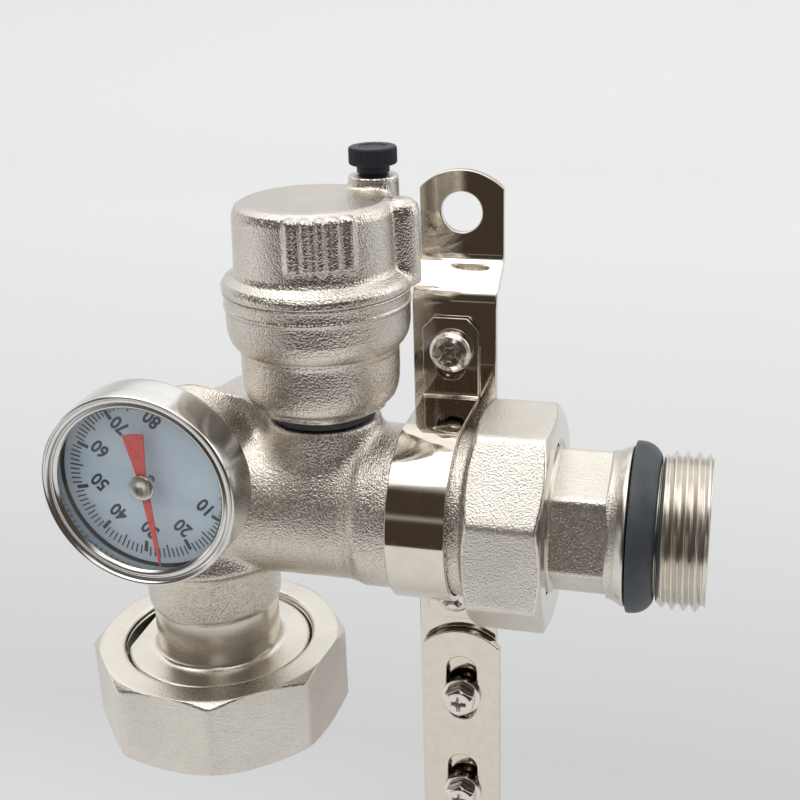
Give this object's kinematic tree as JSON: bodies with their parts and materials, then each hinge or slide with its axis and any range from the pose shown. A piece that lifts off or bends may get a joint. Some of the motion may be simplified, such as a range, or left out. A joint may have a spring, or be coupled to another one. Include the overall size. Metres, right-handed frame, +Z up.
{
  "type": "automatic air vent",
  "caption": "Float air vent on a cast angle body with dial thermometer, two union nuts, a clamp and an adjustable wall bracket, for a heating mixing set.",
  "frame": {"origin": "on the back face of the upper wall foot, on its centre line just below the screw hole", "axes": "+Y into the wall, +Z up, +X towards the threaded tailpiece"},
  "size_m": [0.1402, 0.0653, 0.2297],
  "materials": {
    "cast_nickel": "nickel plated over a sand-cast surface",
    "vent_nickel": "nickel plated over a hot-pressed grainy surface",
    "nut_nickel": "nickel plated, grainy flats and bright chamfers",
    "tail_nickel": "nickel plated, turned",
    "bright_plate": "polished nickel plate on steel strip",
    "screw_plate": "nickel plated steel",
    "steel_case": "satin stainless steel",
    "glass": "clear flat glass",
    "dial": "grey-blue printed dial",
    "pointer": "red paint",
    "pin_steel": "plain steel",
    "brass": "turned brass",
    "float_plastic": "moulded plastic",
    "cap_plastic": "black moulded plastic",
    "black_rubber": "black rubber"
  },
  "bodies": {
    "fixed": {"main_casting": "cast_nickel", "vent_bowl": "vent_nickel", "vent_lid": "vent_nickel", "bracket_upper": "bright_plate", "clamp_strap": "bright_plate", "clamp_screw_upper": "screw_plate", "clamp_screw_lower": "screw_plate", "clamp_nut_upper": "screw_plate", "clamp_nut_lower": "screw_plate", "strip_screw_upper": "screw_plate", "strip_screw_lower": "screw_plate", "strip_washer_upper": "screw_plate", "strip_washer_lower": "screw_plate", "strip_nut_upper": "screw_plate", "strip_nut_lower": "screw_plate", "thermo_case": "steel_case", "thermo_bezel": "steel_case", "thermo_glass": "glass", "thermo_dial": "dial", "lever_pin": "pin_steel", "check_spring": "pin_steel", "thermo_stem": "brass", "thermo_coil": "brass", "valve_seat": "brass", "check_body": "brass", "vent_lid_oring": "black_rubber", "vent_gasket": "black_rubber", "thermo_gasket": "black_rubber", "bottom_gasket": "black_rubber", "tail_gasket": "black_rubber"},
    "cap_lift": {"cap_seal": "black_rubber"},
    "cap": {"vent_cap": "cap_plastic"},
    "float_body": {"float": "float_plastic"},
    "lever": {"float_lever": "brass"},
    "valve": {"valve_pin": "brass"},
    "poppet": {"check_poppet": "brass"},
    "pointer": {"thermo_pointer": "pointer", "thermo_hub": "pin_steel"},
    "pump_nut": {"bottom_union_nut": "nut_nickel"},
    "tail": {"tailpiece": "tail_nickel", "tail_oring": "black_rubber"},
    "tail_nut": {"side_union_nut": "nut_nickel"},
    "lower_strip": {"bracket_lower": "bright_plate"}
  },
  "joints": [
    {"name": "cap_screw", "type": "hinge", "parent": "cap_lift", "child": "cap", "pos_m": [-0.0158, -0.0164, 0.022], "axis": [0, 0, 1], "range_deg": [0, 720]},
    {"name": "cap_rise", "type": "slide", "parent": "fixed", "child": "cap_lift", "axis": [0, 0, 1], "range_m": [0, 0.002]},
    {"name": "float_rise", "type": "slide", "parent": "fixed", "child": "float_body", "axis": [0, 0, 1], "range_m": [-0.001, 0]},
    {"name": "lever_hinge", "type": "hinge", "parent": "fixed", "child": "lever", "pos_m": [-0.03033, -0.03787, 0.003], "axis": [0.8281, -0.5606, 0], "range_deg": [-6.1, 0]},
    {"name": "valve_slide", "type": "slide", "parent": "fixed", "child": "valve", "axis": [0, 0, 1], "range_m": [-0.0028, 0]},
    {"name": "poppet_slide", "type": "slide", "parent": "fixed", "child": "poppet", "axis": [0, 0, 1], "range_m": [-0.0013, 0.0004], "stiffness_N_per_m": 150, "deforming": ["check_spring"]},
    {"name": "pointer_turn", "type": "hinge", "parent": "fixed", "child": "pointer", "pos_m": [-0.0535, -0.0613, -0.0369], "axis": [0, 1, 0], "range_deg": [-89, 190]},
    {"name": "pump_nut_spin", "type": "hinge", "parent": "fixed", "child": "pump_nut", "pos_m": [-0.0536, -0.0315, -0.099], "axis": [0, 0, 1], "continuous": true},
    {"name": "tail_draw", "type": "slide", "parent": "fixed", "child": "tail", "axis": [1, 0, 0], "range_m": [0, 0.0077]},
    {"name": "tail_nut_screw", "type": "hinge", "parent": "tail", "child": "tail_nut", "pos_m": [0.018, -0.03, -0.052], "axis": [1, 0, 0], "range_deg": [0, 1200]},
    {"name": "strip_slide", "type": "slide", "parent": "fixed", "child": "lower_strip", "axis": [0, 0, 1], "range_m": [-0.008, 0.0026]}
  ],
  "couplings": [
    {"joint": "cap_screw", "follows": "cap_rise", "rad_per_m": 6283.2},
    {"joint": "lever_hinge", "follows": "float_rise", "rad_per_m": 105.26},
    {"joint": "valve_slide", "follows": "float_rise", "ratio": 2.7263},
    {"joint": "tail_draw", "follows": "tail_nut_screw", "m_per_rad": 0.00036749}
  ]
}
